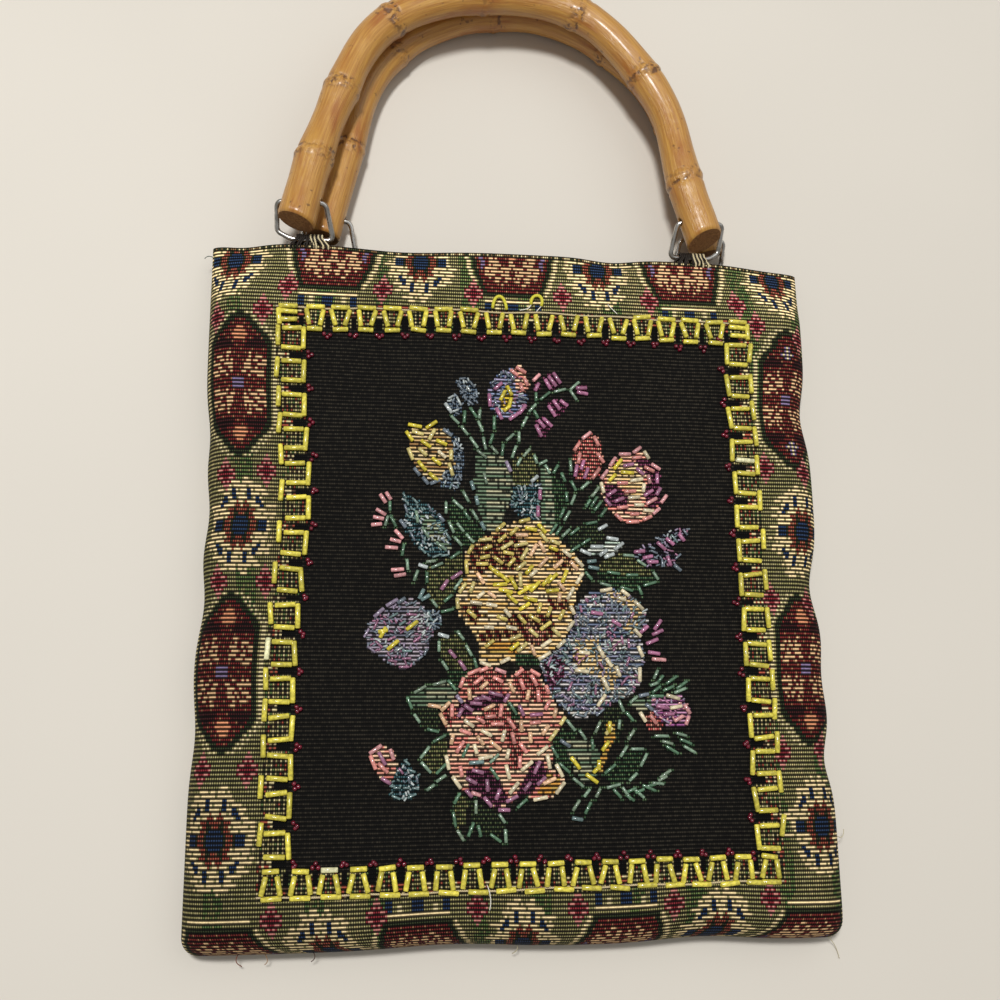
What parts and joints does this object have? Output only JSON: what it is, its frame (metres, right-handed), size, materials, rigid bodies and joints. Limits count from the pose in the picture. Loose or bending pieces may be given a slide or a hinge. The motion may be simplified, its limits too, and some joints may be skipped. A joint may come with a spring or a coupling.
{
  "type": "bamboo handle bag",
  "caption": "Flat tapestry handbag with a bead-edged floral front, an open hem and bent bamboo handles that swing on wire links sewn to the hem.",
  "frame": {"origin": "on the surface that the bag lies on, under the middle of its whole length and width", "axes": "+Y from the bag's foot to its handles, +X across the bag, +Z off the surface, the way the beaded front faces"},
  "size_m": [0.23, 0.3696, 0.028],
  "materials": {
    "tapestry": "woven, matt",
    "glass_beads": "glossy glass",
    "bamboo": "lacquered cane",
    "link_wire": "dull nickel",
    "sewing_thread": "twisted thread"
  },
  "bodies": {
    "bag": {"front_panel": "tapestry", "back_panel": "tapestry", "bead_row_top": "glass_beads", "bead_row_bottom": "glass_beads", "bead_row_left": "glass_beads", "bead_row_right": "glass_beads", "stitch_front_left": "sewing_thread", "stitch_front_right": "sewing_thread", "stitch_back_left": "sewing_thread", "stitch_back_right": "sewing_thread"},
    "front_links": {"link_front_left": "link_wire", "link_front_right": "link_wire"},
    "front_cane": {"front_handle": "bamboo"},
    "back_links": {"link_back_left": "link_wire", "link_back_right": "link_wire"},
    "back_cane": {"back_handle": "bamboo"}
  },
  "joints": [
    {"name": "front_link_turn", "type": "hinge", "parent": "bag", "child": "front_links", "pos_m": [0, 0.0705, 0.0143], "axis": [1, 0, 0], "range_deg": [0, 85]},
    {"name": "front_handle_swing", "type": "hinge", "parent": "front_links", "child": "front_cane", "pos_m": [0, 0.08231, 0.0213], "axis": [1, 0, 0], "range_deg": [0, 85]},
    {"name": "back_link_turn", "type": "hinge", "parent": "bag", "child": "back_links", "pos_m": [0, 0.0705, 0.0024], "axis": [1, 0, 0], "range_deg": [-85, 0]},
    {"name": "back_handle_swing", "type": "hinge", "parent": "back_links", "child": "back_cane", "pos_m": [0, 0.08231, 0.007], "axis": [1, 0, 0], "range_deg": [-85, 0]}
  ],
  "couplings": [
    {"joint": "front_handle_swing", "follows": "front_link_turn", "ratio": 1},
    {"joint": "back_handle_swing", "follows": "back_link_turn", "ratio": 1}
  ]
}
